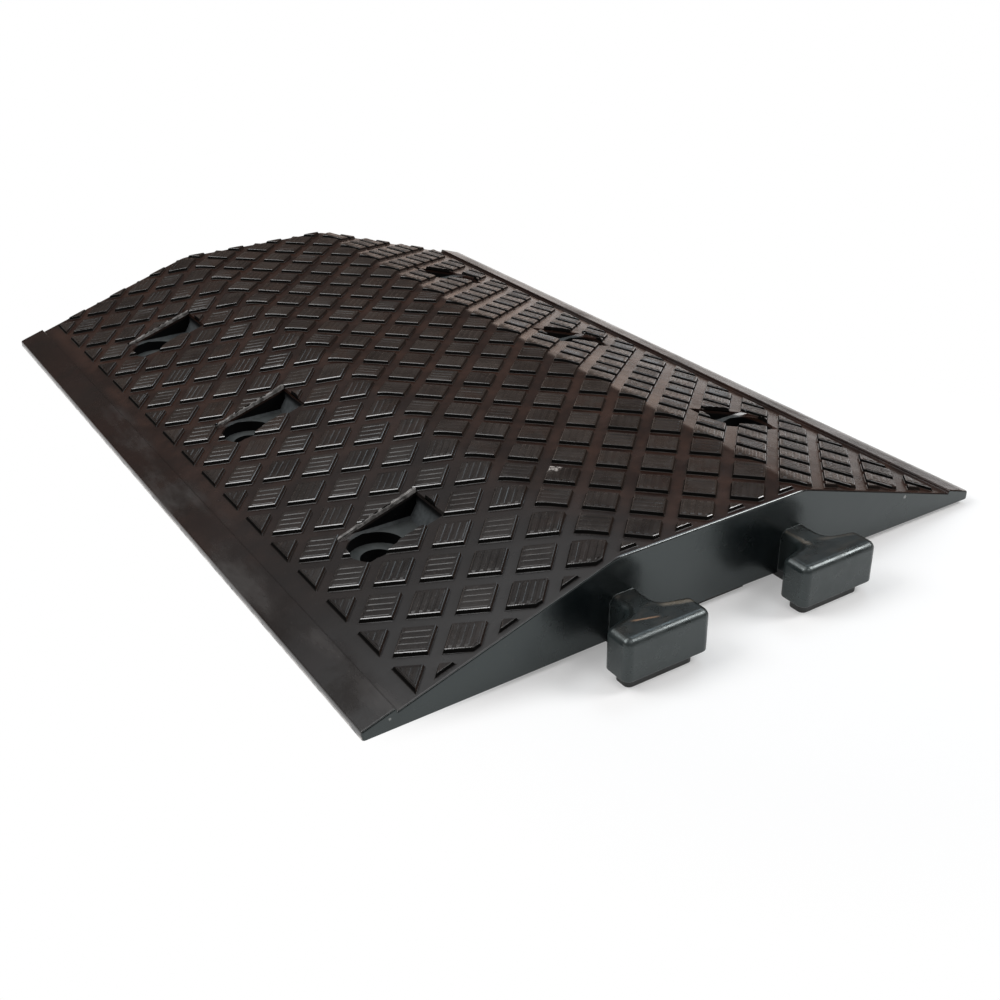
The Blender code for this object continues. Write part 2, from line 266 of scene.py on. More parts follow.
# Each lamp's name, place, size, watts and colour
SOFTBOXES = (
    ("left softbox", (-1.75, 0.40, 1.90), (1.5, 1.0), 32, (1, 1, 1)),
    ("top softbox", (-0.60, 0.30, 2.00), (1.2, 0.8), 7, (1, 1, 1)),
    ("front softbox", (1.40, -1.20, 1.54), (0.75, 0.75), 22, (1, 1, 1)),
    ("near softbox", (-0.05, -1.65, 1.65), (0.6, 0.6), 4, (1, 1, 1)),
    ("right softbox", (1.15, 0.30, 1.90), (0.9, 0.7), 7, (0.76, 0.90, 1.0)),
)
WHITE = (1, 1, 1, 1)
FLOOR_HALF = 6.0
FLOOR_HEIGHT = -0.0003
FLOOR_COLOUR = (0.85, 0.85, 0.85, 1)
FLOOR_SHADE = (0.64, 0.64, 0.64, 1)
FLOOR_GLOW = 0.29
FLOOR_CENTRE = (0.12, -0.42, 0.0)
FLOOR_FADE = (0.27, 0.42)
FLOOR_UNDER = (0.030, 0.010)
FLOOR_DIM_SIDE = (0.45, 0.80)
FLOOR_DIM_TURN = 0.9
FLOOR_DIM_REACH = (0.1, -0.8)
FLOOR_DIM_NEAR = (0.24, 0.155, 0.115)
FLOOR_DIM_FAR = (0.66, 0.46, 0.36)
SKY_STOPS = (
    (0.0, (0.90, 0.76, 0.68)),
    (0.04, (0.72, 0.59, 0.52)),
    (0.12, (0.12, 0.098, 0.086)),
    (0.20, (0.075, 0.063, 0.057)),
    (0.40, (0.094, 0.083, 0.077)),
    (0.54, (0.185, 0.173, 0.167)),
    (0.72, (0.30, 0.295, 0.295)),
    (1.0, (0.36, 0.36, 0.36)),
)
SKY_DIM = (0.10, 0.09, 0.085)
SKY_DIM_BAND = (0.12, 0.02)
SKY_DIM_TURN = -0.6
SKY_DIM_REACH = (0.45, 0.05)


def object_from(bm, name):
    """An object in the scene with the mesh, its faces turned outward."""
    bmesh.ops.recalc_face_normals(bm, faces=bm.faces[:])
    mesh = bpy.data.meshes.new(name)
    bm.to_mesh(mesh)
    bm.free()
    made = bpy.data.objects.new(name, mesh)
    scene.collection.objects.link(made)
    return made


def bake(target):
    """Replaces the mesh by what its modifiers make of it."""
    graph = bpy.context.evaluated_depsgraph_get()
    made = bpy.data.meshes.new_from_object(target.evaluated_get(graph))
    target.modifiers.clear()
    target.data = made
    return target


def cut(target, cutters):
    """Cuts the closed cutters out of a closed mesh."""
    for cutter in cutters:
        modifier = target.modifiers.new(cutter.name, 'BOOLEAN')
        modifier.operation = 'DIFFERENCE'
        modifier.object = cutter
        modifier.solver = 'EXACT'
    return bake(target)


def join(target, others):
    """Puts the meshes of the others into the target."""
    bm = bmesh.new()
    for piece in (target, *others):
        bm.from_mesh(piece.data)
    bm.to_mesh(target.data)
    bm.free()
    for piece in others:
        bpy.data.objects.remove(piece)
    return target


def soften(target, width, angle=SHARP_ANGLE):
    """Rounds the edges that are sharper than the angle."""
    modifier = target.modifiers.new("rounded edges", 'BEVEL')
    modifier.width = width
    modifier.segments = BEVEL_SEGMENTS
    modifier.limit_method = 'ANGLE'
    modifier.angle_limit = angle
    return bake(target)


def smooth(target, angle=SHARP_ANGLE):
    """Smooth shading that keeps the flat faces flat."""
    target.data.shade_smooth()
    target.data.set_sharp_from_angle(angle=angle)
    modifier = target.modifiers.new("weighted normals", 'WEIGHTED_NORMAL')
    modifier.keep_sharp = True
    modifier.weight = FACE_WEIGHT
    return target


def rounded(corners, steps):
    """An outline from (x, y, radius) corners, each rounded by an arc of its radius."""
    outline = []
    for index, (x, y, radius) in enumerate(corners):
        corner = Vector((x, y))
        before = (Vector(corners[index - 1][:2]) - corner).normalized()
        after = (Vector(corners[(index + 1) % len(corners)][:2]) - corner).normalized()
        half_angle = before.angle(after) / 2
        centre = corner + (before + after).normalized() * radius / math.sin(half_angle)
        start = corner + before * radius / math.tan(half_angle) - centre
        finish = corner + after * radius / math.tan(half_angle) - centre
        sweep = start.angle_signed(finish)
        for step in range(steps + 1):
            outline.append(centre + Matrix.Rotation(-sweep * step / steps, 2) @ start)
    return outline


def loft(bm, rings):
    """Closed solid through rings of points of equal count."""
    rows = [[bm.verts.new(point) for point in ring] for ring in rings]
    for low, high in zip(rows, rows[1:]):
        for index in range(len(low)):
            bm.faces.new((low[index - 1], low[index], high[index], high[index - 1]))
    bm.faces.new(rows[0])
    bm.faces.new(rows[-1])


def quarter_turn(steps):
    """Angles from 0 to a right angle."""
    return [math.pi / 2 * step / steps for step in range(steps + 1)]


def surface_height(x):
    """The height of the pads' tops and the nosings, without the bend beside the crown."""
    return min(CROWN_HEIGHT, EDGE_HEIGHT + SLOPE * (HALF_WIDTH - abs(x)))


def deck_height(x):
    """The height of the deck between the pads, with the bend at each side of the crown."""
    distance = abs(x)
    if BEND_START < distance < BEND_END:
        rise = math.sqrt(CROWN_BEND_RADIUS ** 2 - (distance - BEND_START) ** 2)
        return CROWN_HEIGHT - TREAD_DEPTH - CROWN_BEND_RADIUS + rise
    return surface_height(x) - TREAD_DEPTH


def make_block():
    """The block under the pads: a rounded cross-section along Y, drawn in at both ends."""
    half = [
        (HALF_WIDTH, BASE_HEIGHT, FOOT_RADIUS),
        (HALF_WIDTH, EDGE_HEIGHT, LIP_RADIUS),
        (NOSING_STEP_X, surface_height(NOSING_STEP_X), STEP_RADIUS),
        (NOSING_STEP_X, surface_height(NOSING_STEP_X) - TREAD_DEPTH, STEP_RADIUS),
        (HALF_CROWN, CROWN_HEIGHT - TREAD_DEPTH, CROWN_BEND_RADIUS),
    ]
    mirrored = [(-x, z, radius) for x, z, radius in reversed(half)]
    section = rounded(half + mirrored + [(0, RIDGE_HEIGHT, RIDGE_RADIUS)], FILLET_STEPS)

    def ring(station, inset):
        points = []
        for x, z in section:
            lift = min(1.0, max(0.0, (z - RIDGE_HEIGHT) / (EDGE_HEIGHT - RIDGE_HEIGHT)))
            reach = max(0.0, 1 - (HALF_WIDTH - abs(x)) / CORNER_ZONE)
            points.append((x - math.copysign(inset * reach, x), station, z - inset * lift))
        return points

    ends = [
        (END_ROUNDING * (1 - math.cos(turn)), END_ROUNDING * (1 - math.sin(turn)))
        for turn in quarter_turn(END_STEPS)
    ]
    rings = [ring(advance - HALF_LENGTH, inset) for advance, inset in ends]
    rings += [ring(HALF_LENGTH - advance, inset) for advance, inset in reversed(ends)]
    bm = bmesh.new()
    loft(bm, rings)
    return object_from(bm, "ramp_block")


def key_outline(grow):
    """The plan of a key about the ramp's end plane, grown on all sides."""
    reach = KEY_REACH + grow
    back = KEY_REACH - KEY_HEAD_DEPTH - grow
    head = KEY_HEAD_WIDTH / 2 + grow
    stem = KEY_STEM_WIDTH / 2 + grow
    neck = back - (head - stem) * math.tan(KEY_SHOULDER_ANGLE)
    quarter = [
        (stem, neck, KEY_NECK_RADIUS - grow),
        (head, back, max(KEY_LEAST_RADIUS, KEY_SHOULDER_RADIUS + grow)),
        (head, reach, max(KEY_LEAST_RADIUS, KEY_CORNER_RADIUS + grow)),
    ]
    half = quarter + [(-x, y, radius) for x, y, radius in reversed(quarter)]
    return rounded(half + [(-x, -y, radius) for x, y, radius in half], KEY_CORNER_STEPS)


def key_top_rings():
    """The inset and height of each ring of a key's rounded top edge."""
    return [
        (KEY_EDGE_RADIUS * (1 - math.cos(turn)), KEY_TOP_HEIGHT - KEY_EDGE_RADIUS * (1 - math.sin(turn)))
        for turn in quarter_turn(KEY_EDGE_STEPS)
    ]


def make_cutters():
    """Bolt pockets with their counterbores and holes, key sockets and cable channels."""
    above = CROWN_HEIGHT + CUT_MARGIN
    back = BOLT_X - POCKET_UPHILL_REACH
    front = BOLT_X + COUNTERBORE_RADIUS
    facet_top = deck_height(back) - POCKET_WALL_DEPTH
    half_pocket = POCKET_WIDTH / 2

    def pocket_ring(side, station, lift):
        floor = POCKET_FLOOR_HEIGHT + lift
        run = POCKET_FACET_RUN * (facet_top - floor) / (facet_top - POCKET_FLOOR_HEIGHT)
        profile = [(front, floor), (back + run, floor), (back, facet_top), (back, above), (front, above)]
        return [(side * x, station, z) for x, z in profile]

    slots, bores, holes = bmesh.new(), bmesh.new(), bmesh.new()
    for x, y in BOLT_CENTRES:
        side = math.copysign(1, x)
        loft(slots, [
            pocket_ring(side, y - half_pocket, POCKET_FLOOR_FILLET),
            pocket_ring(side, y - half_pocket + POCKET_FLOOR_FILLET, 0),
            pocket_ring(side, y + half_pocket - POCKET_FLOOR_FILLET, 0),
            pocket_ring(side, y + half_pocket, POCKET_FLOOR_FILLET),
        ])
        for bm, radius, low, high in (
            (bores, COUNTERBORE_RADIUS, COUNTERBORE_SEAT_HEIGHT, above),
            (holes, BOLT_HOLE_RADIUS, -CUT_MARGIN, CROWN_HEIGHT),
        ):
            centre = (x + side * BORE_SHIFT[0], y + BORE_SHIFT[1], (low + high) / 2)
            bmesh.ops.create_cone(
                bm, cap_ends=True, segments=ROUND_SIDES, radius1=radius, radius2=radius, depth=high - low,
                matrix=Matrix.Translation(centre),
            )
    sockets, channels = bmesh.new(), bmesh.new()
    half_channel = CHANNEL_WIDTH / 2
    channel_plan = [(-half_channel, -1), (half_channel, -1), (half_channel, 1), (-half_channel, 1)]
    for side in (-1, 1):
        for end in (-1, 1):
            rings = []
            for inset, z in [(0, -CUT_MARGIN), *key_top_rings()]:
                plan = key_outline(KEY_CLEARANCE - inset)
                rings.append([(side * KEY_X + x, end * HALF_LENGTH + y, z + KEY_CLEARANCE) for x, y in plan])
            loft(sockets, rings)
        loft(channels, [
            [(side * KEY_X + x, end * (HALF_LENGTH + CUT_MARGIN), z) for x, end in channel_plan]
            for z in (-CUT_MARGIN, CHANNEL_HEIGHT)
        ])
    names = ("pocket_slots", "counterbores", "bolt_holes", "key_sockets", "cable_channels")
    return [object_from(bm, name) for bm, name in zip((slots, bores, holes, sockets, channels), names)]


def pad_places():
    """The centre of each pad and whether its row is odd."""
    half_pitch = PAD_PITCH / 2
    reach = PAD_DIAGONAL / 2 - PAD_LEAST_REMNANT
    columns = math.floor((FIELD_HALF_WIDTH + reach) / half_pitch)
    rows = math.floor((FIELD_HALF_LENGTH + reach) / half_pitch)
    for column in range(-columns, columns + 1):
        for row in range(-rows, rows + 1):
            if (column + row) % 2 == 0:
                yield column * half_pitch, row * half_pitch + PAD_ROW_OFFSET, row % 2


def pad_kind(x, y):
    """Whether a pad is whole, a small remnant at an end, or one that may reach into a bolt pocket."""
    if abs(y) > FIELD_HALF_LENGTH:
        return "nub"
    reach = PAD_DIAGONAL / 2 + TREAD_DEPTH
    for bolt_x, bolt_y in BOLT_CENTRES:
        along = abs(y - bolt_y) - COUNTERBORE_RADIUS
        middle = bolt_x - math.copysign((POCKET_UPHILL_REACH - COUNTERBORE_RADIUS) / 2, bolt_x)
        across = abs(x - middle) - (POCKET_UPHILL_REACH + COUNTERBORE_RADIUS) / 2
        if along < reach and across < reach:
            return "pocketed"
    return "open"


def clipped(outline, normal, reach):
    """The part of a convex outline within the reach along the normal."""
    kept = []
    for start, finish in zip(outline, outline[1:] + outline[:1]):
        here = normal.dot(start) - reach
        there = normal.dot(finish) - reach
        if here <= 0:
            kept.append(start)
        if here * there < 0:
            kept.append(start.lerp(finish, here / (here - there)))
    return kept


def pad_rings(x, y):
    """The rings of a pad within the tread's field, each with the pad's sides moved out by its spread."""
    corners = ((1, 1), (-1, 1), (-1, -1), (1, -1))
    square = [Vector((x + u * PAD_DIAGONAL, y + v * PAD_DIAGONAL)) for u, v in corners]
    sides = [
        (Vector((u, v)).normalized(), (u * x + v * y + PAD_DIAGONAL / 2) / math.sqrt(2))
        for u, v in corners
    ]

    def outline(spread):
        kept = square
        for normal, reach in sides:
            kept = clipped(kept, normal, reach + spread)
        return kept

    for axis, limit in ((Vector((1, 0)), FIELD_HALF_WIDTH), (Vector((0, 1)), FIELD_HALF_LENGTH)):
        for normal in (axis, -axis):
            if max(normal.dot(corner) for corner in outline(0)) > limit + PAD_LEAST_CUT:
                sides.append((normal, limit))
    return [[(*corner, z) for corner in outline(spread)] for z, spread in PAD_RINGS]


def trim(bm):
    """Clips ribs to the tread's field."""
    limits = (
        (Vector((1, 0, 0)), FIELD_HALF_WIDTH - RIB_FIELD_INSET),
        (Vector((0, 1, 0)), FIELD_HALF_LENGTH - RIB_FIELD_INSET),
    )
    for side in (-1, 1):
        for axis, limit in limits:
            found = bmesh.ops.bisect_plane(
                bm, geom=bm.verts[:] + bm.edges[:] + bm.faces[:], plane_co=axis * side * limit,
                plane_no=axis * side, clear_outer=True,
            )["geom_cut"]
            bmesh.ops.holes_fill(bm, edges=[item for item in found if isinstance(item, bmesh.types.BMEdge)])


def drape(bm):
    """Lays what was made flat onto the deck, with edges where the crown bends."""
    for side in (-1, 1):
        for step in range(FILLET_STEPS + 1):
            bend = side * (BEND_START + (BEND_END - BEND_START) * step / FILLET_STEPS)
            bmesh.ops.bisect_plane(
                bm, geom=bm.verts[:] + bm.edges[:] + bm.faces[:], plane_co=(bend, 0, 0), plane_no=(1, 0, 0),
            )
    for vert in bm.verts:
        vert.co.z += deck_height(vert.co.x)


def make_pads(kind):
    """Tapered diamonds with eased edges at the top and the foot."""
    bm = bmesh.new()
    for x, y, _ in pad_places():
        if pad_kind(x, y) == kind:
            loft(bm, pad_rings(x, y))
    drape(bm)
    return object_from(bm, f"{kind}_pads")


def make_ribs(kind):
    """Four low bars on each pad, across or along it by turns and worn down by different amounts."""
    chance = random.Random(RIB_SEED)
    bm = bmesh.new()
    for x, y, odd in pad_places():
        least = CROWN_RIB_LEAST if abs(x) < HALF_CROWN else SLOPE_RIB_LEAST
        heights = [least + (1 - least) * chance.random() ** RIB_WEAR_POWER for _ in range(2)]
        if pad_kind(x, y) != kind:
            continue
        along = Vector((1, -1 if odd else 1)).normalized()
        across = Vector((-along.y, along.x))
        for index in range(RIB_COUNT):
            middle = Vector((x, y)) + across * RIB_SPACING * (index - (RIB_COUNT - 1) / 2)
            wear = heights[0] + (heights[1] - heights[0]) * index / (RIB_COUNT - 1)
            rings = []
            for station, height in ((-1, 0), (-1, wear), (1, wear), (1, 0)):
                length = RIB_LENGTH / 2 - (RIB_END_TAPER if height else 0)
                ring = []
                for u, z in RIB_SECTION:
                    spot = middle + along * station * length + across * u
                    ring.append((*spot, TREAD_DEPTH + (z * height if z > 0 else z)))
                rings.append(ring)
            loft(bm, rings)
    bmesh.ops.remove_doubles(bm, verts=bm.verts[:], dist=MERGE_DISTANCE)
    trim(bm)
    drape(bm)
    return object_from(bm, f"{kind}_ribs")


def make_beads():
    """A low, uneven bead along the far edge of each bolt pocket on the left, which runs out downhill."""
    chance = random.Random(BEAD_SEED)
    start = BOLT_X - POCKET_UPHILL_REACH
    finish = BOLT_X + COUNTERBORE_RADIUS + BEAD_RUN_OUT
    bm = bmesh.new()
    for bolt_x, bolt_y in BOLT_CENTRES:
        if bolt_x > 0:
            continue
        rings = []
        for step in range(BEAD_STEPS + 1):
            part = step / BEAD_STEPS
            x = start + (finish - start) * part
            height = BEAD_LEAST_HEIGHT + (1 - BEAD_LEAST_HEIGHT) * chance.random()
            height *= 1 - part ** BEAD_FADE_POWER
            rings.append([
                (-x, bolt_y + POCKET_WIDTH / 2 + u, deck_height(x) + (v * height if v > 0 else v))
                for u, v in BEAD_SECTION
            ])
        loft(bm, rings)
    return object_from(bm, "pocket_beads")


def make_flash():
    """Ragged moulding flash on the near end face, around the slots that the keys' stems stand out of."""
    chance = random.Random(FLASH_SEED)
    half_slot = KEY_STEM_WIDTH / 2 + KEY_CLEARANCE
    top = KEY_TOP_HEIGHT + KEY_CLEARANCE
    bend = [(half_slot * u, top, KEY_EDGE_RADIUS) for u in (-1, 1)]
    feet = [(half_slot * u, RIDGE_HEIGHT, KEY_LEAST_RADIUS) for u in (1, -1)]
    arch = rounded(bend + feet, KEY_CORNER_STEPS)[:2 * (KEY_CORNER_STEPS + 1)]
    corners = [Vector((-half_slot, RIDGE_HEIGHT)), *arch, Vector((half_slot, RIDGE_HEIGHT))]
    path = []
    for start, finish in zip(corners, corners[1:]):
        steps = math.ceil((finish - start).length / FLASH_STEP)
        path += [start.lerp(finish, step / steps) for step in range(steps)]
    path.append(corners[-1])
    bm = bmesh.new()
    for side in (-1, 1):
        rings = []
        for index, spot in enumerate(path):
            flat = (path[min(index + 1, len(path) - 1)] - path[max(index - 1, 0)]).normalized()
            away = Vector((-flat.y, flat.x))
            size = FLASH_LEAST + (1 - FLASH_LEAST) * chance.random()
            ring = []
            for u, v in FLASH_SECTION:
                x = side * KEY_X + spot.x + away.x * u * size
                ring.append((x, v * size - HALF_LENGTH, spot.y + away.y * u * size))
            rings.append(ring)
        loft(bm, rings)
    return object_from(bm, "key_slot_flash")


def make_key(name, side):
    """A key with rounded top and bottom edges."""
    rings = [
        (KEY_FOOT_RADIUS * (1 - math.sin(turn)), KEY_BASE_HEIGHT + KEY_FOOT_RADIUS * (1 - math.cos(turn)))
        for turn in quarter_turn(KEY_EDGE_STEPS)
    ]
    rings += key_top_rings()
    bm = bmesh.new()
    loft(bm, [
        [(side * KEY_X + x, y - HALF_LENGTH, z) for x, y in key_outline(-inset)]
        for inset, z in rings
    ])
    return object_from(bm, name)


class Shader:
    """A node tree that is built up one node at a time."""

    def __init__(self, owner, coordinates="Object"):
        owner.use_nodes = True
        self.owner = owner
        self.tree = owner.node_tree
        self.tree.nodes.clear()
        frame_of = self.add("TexCoord").outputs
        self.place = frame_of[coordinates]
        self.facing = frame_of["Normal"]

    def add(self, kind, settings=None, **inputs):
        node = self.tree.nodes.new("ShaderNode" + kind)
        for key, value in (settings or {}).items():
            setattr(node, key, value)
        for key, value in inputs.items():
            numbered = key[0] == "i" and key[1:].isdigit()
            socket = node.inputs[int(key[1:]) if numbered else key.replace("_", " ")]
            if isinstance(value, bpy.types.NodeSocket):
                self.tree.links.new(value, socket)
            else:
                socket.default_value = value
        return node

    def split(self, vector):
        return self.add("SeparateXYZ", Vector=vector).outputs

    def math(self, operation, *values):
        inputs = {f"i{index}": value for index, value in enumerate(values)}
        return self.add("Math", {"operation": operation}, **inputs).outputs[0]

    def times(self, first, *others):
        for other in others:
            first = self.math('MULTIPLY', first, other)
        return first

    def noise(self, scale, detail=3.0, roughness=0.55, stretch=None):
        place = self.place
        if stretch:
            place = self.add("Mapping", Vector=place, Scale=stretch).outputs[0]
        node = self.add("TexNoise", Vector=place, Scale=scale, Detail=detail, Roughness=roughness)
        return node.outputs["Fac"]

    def patches(self, low, high, scale, detail=3.0, roughness=0.55, stretch=None):
        """Noise that is 0 below low and 1 above high."""
        return self.ramp(self.noise(scale, detail, roughness, stretch), low, high)

    def uneven(self, least, most, scale, detail=3.0, low=0.3, high=0.7):
        """Noise between a least and a most value."""
        return self.ramp(self.noise(scale, detail), low, high, least, most)

    def plus(self, base, value, factor):
        """The base, plus the value times the factor."""
        return self.math('MULTIPLY_ADD', value, factor, base)

    def distance(self, centre):
        node = self.add("VectorMath", {"operation": 'DISTANCE'}, i0=self.place, i1=centre)
        return node.outputs["Value"]

    def ramp(self, value, low, high, to_low=0.0, to_high=1.0):
        """A smooth step from to_low at low to to_high at high."""
        node = self.add("MapRange", {"interpolation_type": 'SMOOTHSTEP'}, Value=value)
        for index, number in enumerate((low, high, to_low, to_high)):
            node.inputs[index + 1].default_value = number
        return node.outputs[0]

    def mix(self, amount, first, second):
        node = self.add("Mix", {"data_type": 'RGBA'})
        for index, value in ((0, amount), (6, first), (7, second)):
            if isinstance(value, bpy.types.NodeSocket):
                self.tree.links.new(value, node.inputs[index])
            else:
                node.inputs[index].default_value = value if index == 0 else (*value, 1.0)
        return node.outputs[2]

    def spot(self, centre, radius):
        """1 within a ragged spot and 0 outside it."""
        ragged = self.plus(self.distance(centre), self.noise(1.2 / radius, 2), radius)
        return self.ramp(ragged, 1.35 * radius, 1.0 * radius)

    def height_over_deck(self, across, z):
        """The height above the deck between the pads."""
        slope = self.plus(EDGE_HEIGHT + SLOPE * HALF_WIDTH - TREAD_DEPTH, across, -SLOPE)
        return self.math('SUBTRACT', z, self.math('MINIMUM', slope, CROWN_HEIGHT - TREAD_DEPTH))

    def bump(self, height, distance, normal=None):
        inputs = {"Height": height, "Distance": distance}
        if normal:
            inputs["Normal"] = normal
        return self.add("Bump", **inputs).outputs[0]

    def grain(self, fine=0.00005, broad=0.0003):
        """Bump of moulded rubber: a fine grain over broad, soft unevenness."""
        return self.bump(self.noise(1100, 3), fine, self.bump(self.noise(38, 2), broad))

    def streak(self, x, y, centre, half_length, half_width, angle):
        """1 along a ragged streak and 0 outside it."""
        ahead, aside = math.cos(angle), math.sin(angle)
        across_middle = centre[1] * ahead - centre[0] * aside
        along_middle = centre[0] * ahead + centre[1] * aside
        along = self.plus(self.plus(-along_middle, y, aside), x, ahead)
        across = self.plus(self.plus(-across_middle, y, ahead), x, -aside)
        ragged = self.plus(self.math('ABSOLUTE', across), self.noise(0.9 / half_width, 4, 0.65), half_width)
        core = self.ramp(ragged, 1.4 * half_width, 0.6 * half_width)
        return self.times(core, self.ramp(self.math('ABSOLUTE', along), half_length, 0.5 * half_length))

    def finish(self, colour, roughness, normal, **others):
        inputs = {"Base_Color": colour, "Roughness": roughness, "Normal": normal, **others}
        return self.close(self.add("BsdfPrincipled", **inputs))

    def close(self, surface, output="OutputMaterial"):
        self.add(output, Surface=surface.outputs[0])
        return self.owner


def near_left(shader, x, y):
    """The part of the ramp that looks grey rather than brown."""
    return shader.times(shader.ramp(y, *GREY_ALONG), shader.ramp(x, *GREY_ACROSS))


def make_block_rubber():
    """Red-brown black rubber on the deck, wiped nosings, blue-grey end faces, and pockets with painted shade
    on the walls and dust plus painted light on the facet and floor.
    """
    shader = Shader(bpy.data.materials.new("block_rubber"))
    x, y, z = shader.split(shader.place)
    _, along, up = shader.split(shader.facing)
    across = shader.math('ABSOLUTE', x)
    length = shader.math('ABSOLUTE', y)
    blotch = shader.patches(0.33, 0.70, scale=24, detail=5, roughness=0.6)
    colour = shader.mix(blotch, DECK_DARK, DECK_LIGHT)
    grey = shader.times(near_left(shader, x, y), 0.85)
    colour = shader.mix(grey, colour, DECK_GREY)
    dusted = shader.times(shader.ramp(y, *DUST_ALONG), grey)
    colour = shader.mix(dusted, colour, DECK_DUST)

    nosing = shader.ramp(across, *NOSING_ACROSS)
    colour = shader.mix(shader.times(nosing, shader.ramp(y, *BROWN_ALONG)), colour, NOSING_BROWN)
    smudge = shader.patches(0.42, 0.66, scale=17, detail=5, roughness=0.62)
    colour = shader.mix(shader.times(smudge, nosing, 0.75), colour, NOSING_SMUDGE)
    wipe = shader.patches(0.45, 0.78, scale=13, detail=5, roughness=0.6, stretch=(3.0, 0.9, 1.0))
    wiped = shader.times(wipe, nosing, shader.ramp(y, *WIPE_ALONG), 0.75)
    colour = shader.mix(wiped, colour, NOSING_WIPE)
    # Painted reflection of the white floor on the low outer face of each lip, in patches like wear
    lip = shader.times(shader.ramp(across, *LIP_ACROSS), shader.ramp(z, *LIP_UP))
    worn = shader.times(lip, shader.patches(0.30, 0.55, scale=60, detail=4))
    colour = shader.mix(worn, colour, LIP_WEAR_AND_REFLECTION)
    # Rubbing plus painted sheen along the right lip's outer edge
    rub_and_sheen = shader.times(shader.ramp(x, *RUB_AND_SHEEN_ACROSS), shader.noise(scale=45, detail=4))
    colour = shader.mix(rub_and_sheen, colour, LIP_RUB_AND_SHEEN)

    upright = shader.ramp(shader.math('ABSOLUTE', along), 0.45, 0.85)
    end = shader.times(upright, shader.ramp(length, *END_ALONG))
    colour = shader.mix(end, colour, shader.mix(shader.noise(scale=26, detail=4), END_DARK, END_LIGHT))
    for nick_x, nick_z, radius in END_NICKS:
        nick = shader.spot((nick_x, -HALF_LENGTH, nick_z), radius)
        colour = shader.mix(shader.times(nick, 0.7), colour, END_NICK)

    inside = shader.times(
        shader.ramp(shader.height_over_deck(across, z), *POCKETS_DEPTH),
        shader.ramp(across, *POCKETS_ACROSS), shader.ramp(length, *POCKETS_ALONG),
    )
    # Painted shade on the pocket walls, and dust with painted light on the facet and floor
    level = shader.ramp(up, 0.60, 0.90)
    facet = shader.times(
        shader.ramp(up, 0.15, 0.35), shader.uneven(0.6, 1.0, scale=240, detail=3, low=0.25, high=0.75),
    )
    pocket_floor = shader.mix(shader.noise(scale=130, detail=4), POCKET_FLOOR_DARK, POCKET_FLOOR_LIGHT)
    pocket = shader.mix(level, shader.mix(facet, POCKET_WALL_SHADE, POCKET_FACET_DUST_AND_LIGHT), pocket_floor)
    colour = shader.mix(inside, colour, pocket)

    speck = shader.patches(0.71, 0.79, scale=420, detail=2)
    colour = shader.mix(shader.times(speck, 0.3), colour, DECK_SPECK)
    rim = shader.times(
        shader.ramp(length, *RIM_ALONG), shader.ramp(up, 0.15, 0.40), shader.ramp(across, *RIM_ACROSS),
    )
    roughness = shader.uneven(0.17, 0.30, scale=15, detail=4, high=0.75)
    for zone, change in ((wiped, 0.25), (inside, 0.3), (rim, -0.10)):
        roughness = shader.plus(roughness, zone, change)
    shine = 0.5
    for zone, change in ((inside, -0.4), (rim, 0.5), (end, 0.20)):
        shine = shader.plus(shine, zone, change)
    tint = shader.mix(end, WHITE[:3], END_TINT)
    return shader.finish(colour, roughness, shader.grain(), Specular_IOR_Level=shine, Specular_Tint=tint)


